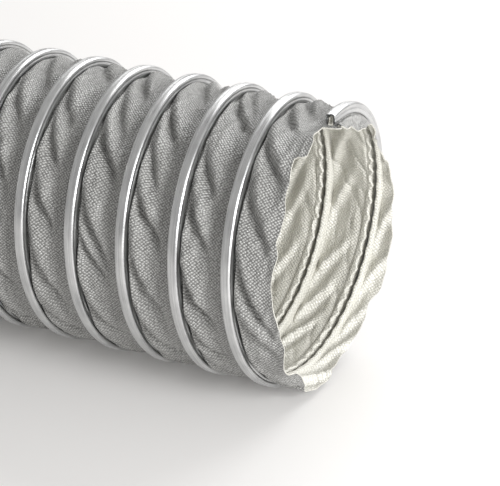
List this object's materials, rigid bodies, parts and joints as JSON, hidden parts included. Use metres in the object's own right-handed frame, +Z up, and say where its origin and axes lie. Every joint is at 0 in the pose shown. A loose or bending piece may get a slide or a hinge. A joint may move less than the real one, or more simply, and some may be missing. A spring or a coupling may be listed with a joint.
{
  "type": "flexible air duct",
  "caption": "Round flexible air duct: a coated fabric wall gripped along a helical steel clip strip, open at both ends; it bends and shortens.",
  "frame": {"origin": "centre of the open mouth end, in the plane where the fabric is cut", "axes": "+X along the duct's axis, out of the mouth; +Z up, through the top of the mouth-end clip turn, where the strip's cut end is; +Y completes the right-handed frame"},
  "size_m": [0.274, 0.137, 0.137],
  "materials": {
    "galvanised_clip": "galvanised steel strip, roll formed, satin with brighter folded corners",
    "coated_fabric": "woven fabric with a silver-grey coat outside and an ivory coat inside, semi-gloss"
  },
  "bodies": {
    "mouth_end": {"clip_mouth_end": "galvanised_clip", "fabric_mouth_end": "coated_fabric"},
    "section_01": {"clip_section_01": "galvanised_clip", "fabric_section_01": "coated_fabric"},
    "section_02": {"clip_section_02": "galvanised_clip", "fabric_section_02": "coated_fabric"},
    "section_03": {"clip_section_03": "galvanised_clip", "fabric_section_03": "coated_fabric"},
    "section_04": {"clip_section_04": "galvanised_clip", "fabric_section_04": "coated_fabric"},
    "section_05": {"clip_section_05": "galvanised_clip", "fabric_section_05": "coated_fabric"},
    "section_06": {"clip_section_06": "galvanised_clip", "fabric_section_06": "coated_fabric"},
    "section_07": {"clip_section_07": "galvanised_clip", "fabric_section_07": "coated_fabric"},
    "section_08": {"clip_section_08": "galvanised_clip", "fabric_section_08": "coated_fabric"},
    "section_09": {"clip_section_09": "galvanised_clip", "fabric_section_09": "coated_fabric"},
    "section_10": {"clip_section_10": "galvanised_clip", "fabric_section_10": "coated_fabric"},
    "section_11": {"clip_section_11": "galvanised_clip", "fabric_section_11": "coated_fabric"},
    "section_12": {"clip_section_12": "galvanised_clip", "fabric_section_12": "coated_fabric"},
    "section_13": {"clip_section_13": "galvanised_clip", "fabric_section_13": "coated_fabric"},
    "section_14": {"clip_section_14": "galvanised_clip", "fabric_section_14": "coated_fabric"},
    "section_15": {"clip_section_15": "galvanised_clip", "fabric_section_15": "coated_fabric"},
    "section_16": {"clip_section_16": "galvanised_clip", "fabric_section_16": "coated_fabric"},
    "far_end": {"clip_far_end": "galvanised_clip", "fabric_far_end": "coated_fabric"}
  },
  "joints": [
    {"name": "bend", "type": "hinge", "parent": "mouth_end", "child": "section_01", "pos_m": [-0.0306, 0, 0], "axis": [0, 0, 1], "range_deg": [-7, 7], "deforming": ["fabric_mouth_end", "fabric_section_01"]},
    {"name": "compress", "type": "slide", "parent": "section_01", "child": "section_02", "axis": [1, 0, 0], "range_m": [-0.0025, 0.012], "deforming": ["fabric_section_01", "fabric_section_02"]},
    {"name": "bend_02", "type": "hinge", "parent": "section_02", "child": "section_03", "pos_m": [-0.0572, 0, 0], "axis": [0, 0, 1], "range_deg": [-7, 7], "deforming": ["fabric_section_02", "fabric_section_03"]},
    {"name": "compress_02", "type": "slide", "parent": "section_03", "child": "section_04", "axis": [1, 0, 0], "range_m": [-0.0025, 0.012], "deforming": ["fabric_section_03", "fabric_section_04"]},
    {"name": "bend_03", "type": "hinge", "parent": "section_04", "child": "section_05", "pos_m": [-0.0838, 0, 0], "axis": [0, 0, 1], "range_deg": [-7, 7], "deforming": ["fabric_section_04", "fabric_section_05"]},
    {"name": "compress_03", "type": "slide", "parent": "section_05", "child": "section_06", "axis": [1, 0, 0], "range_m": [-0.0025, 0.012], "deforming": ["fabric_section_05", "fabric_section_06"]},
    {"name": "bend_04", "type": "hinge", "parent": "section_06", "child": "section_07", "pos_m": [-0.1104, 0, 0], "axis": [0, 0, 1], "range_deg": [-7, 7], "deforming": ["fabric_section_06", "fabric_section_07"]},
    {"name": "compress_04", "type": "slide", "parent": "section_07", "child": "section_08", "axis": [1, 0, 0], "range_m": [-0.0025, 0.012], "deforming": ["fabric_section_07", "fabric_section_08"]},
    {"name": "bend_05", "type": "hinge", "parent": "section_08", "child": "section_09", "pos_m": [-0.137, 0, 0], "axis": [0, 0, 1], "range_deg": [-7, 7], "deforming": ["fabric_section_08", "fabric_section_09"]},
    {"name": "compress_05", "type": "slide", "parent": "section_09", "child": "section_10", "axis": [1, 0, 0], "range_m": [-0.0025, 0.012], "deforming": ["fabric_section_09", "fabric_section_10"]},
    {"name": "bend_06", "type": "hinge", "parent": "section_10", "child": "section_11", "pos_m": [-0.1636, 0, 0], "axis": [0, 0, 1], "range_deg": [-7, 7], "deforming": ["fabric_section_10", "fabric_section_11"]},
    {"name": "compress_06", "type": "slide", "parent": "section_11", "child": "section_12", "axis": [1, 0, 0], "range_m": [-0.0025, 0.012], "deforming": ["fabric_section_11", "fabric_section_12"]},
    {"name": "bend_07", "type": "hinge", "parent": "section_12", "child": "section_13", "pos_m": [-0.1902, 0, 0], "axis": [0, 0, 1], "range_deg": [-7, 7], "deforming": ["fabric_section_12", "fabric_section_13"]},
    {"name": "compress_07", "type": "slide", "parent": "section_13", "child": "section_14", "axis": [1, 0, 0], "range_m": [-0.0025, 0.012], "deforming": ["fabric_section_13", "fabric_section_14"]},
    {"name": "bend_08", "type": "hinge", "parent": "section_14", "child": "section_15", "pos_m": [-0.2168, 0, 0], "axis": [0, 0, 1], "range_deg": [-7, 7], "deforming": ["fabric_section_14", "fabric_section_15"]},
    {"name": "compress_08", "type": "slide", "parent": "section_15", "child": "section_16", "axis": [1, 0, 0], "range_m": [-0.0025, 0.012], "deforming": ["fabric_section_15", "fabric_section_16"]},
    {"name": "bend_09", "type": "hinge", "parent": "section_16", "child": "far_end", "pos_m": [-0.2434, 0, 0], "axis": [0, 0, 1], "range_deg": [-7, 7], "deforming": ["fabric_section_16", "fabric_far_end"]}
  ],
  "couplings": [
    {"joint": "bend_02", "follows": "bend", "ratio": 1},
    {"joint": "compress_02", "follows": "compress", "ratio": 1},
    {"joint": "bend_03", "follows": "bend", "ratio": 1},
    {"joint": "compress_03", "follows": "compress", "ratio": 1},
    {"joint": "bend_04", "follows": "bend", "ratio": 1},
    {"joint": "compress_04", "follows": "compress", "ratio": 1},
    {"joint": "bend_05", "follows": "bend", "ratio": 1},
    {"joint": "compress_05", "follows": "compress", "ratio": 1},
    {"joint": "bend_06", "follows": "bend", "ratio": 1},
    {"joint": "compress_06", "follows": "compress", "ratio": 1},
    {"joint": "bend_07", "follows": "bend", "ratio": 1},
    {"joint": "compress_07", "follows": "compress", "ratio": 1},
    {"joint": "bend_08", "follows": "bend", "ratio": 1},
    {"joint": "compress_08", "follows": "compress", "ratio": 1},
    {"joint": "bend_09", "follows": "bend", "ratio": 1}
  ]
}
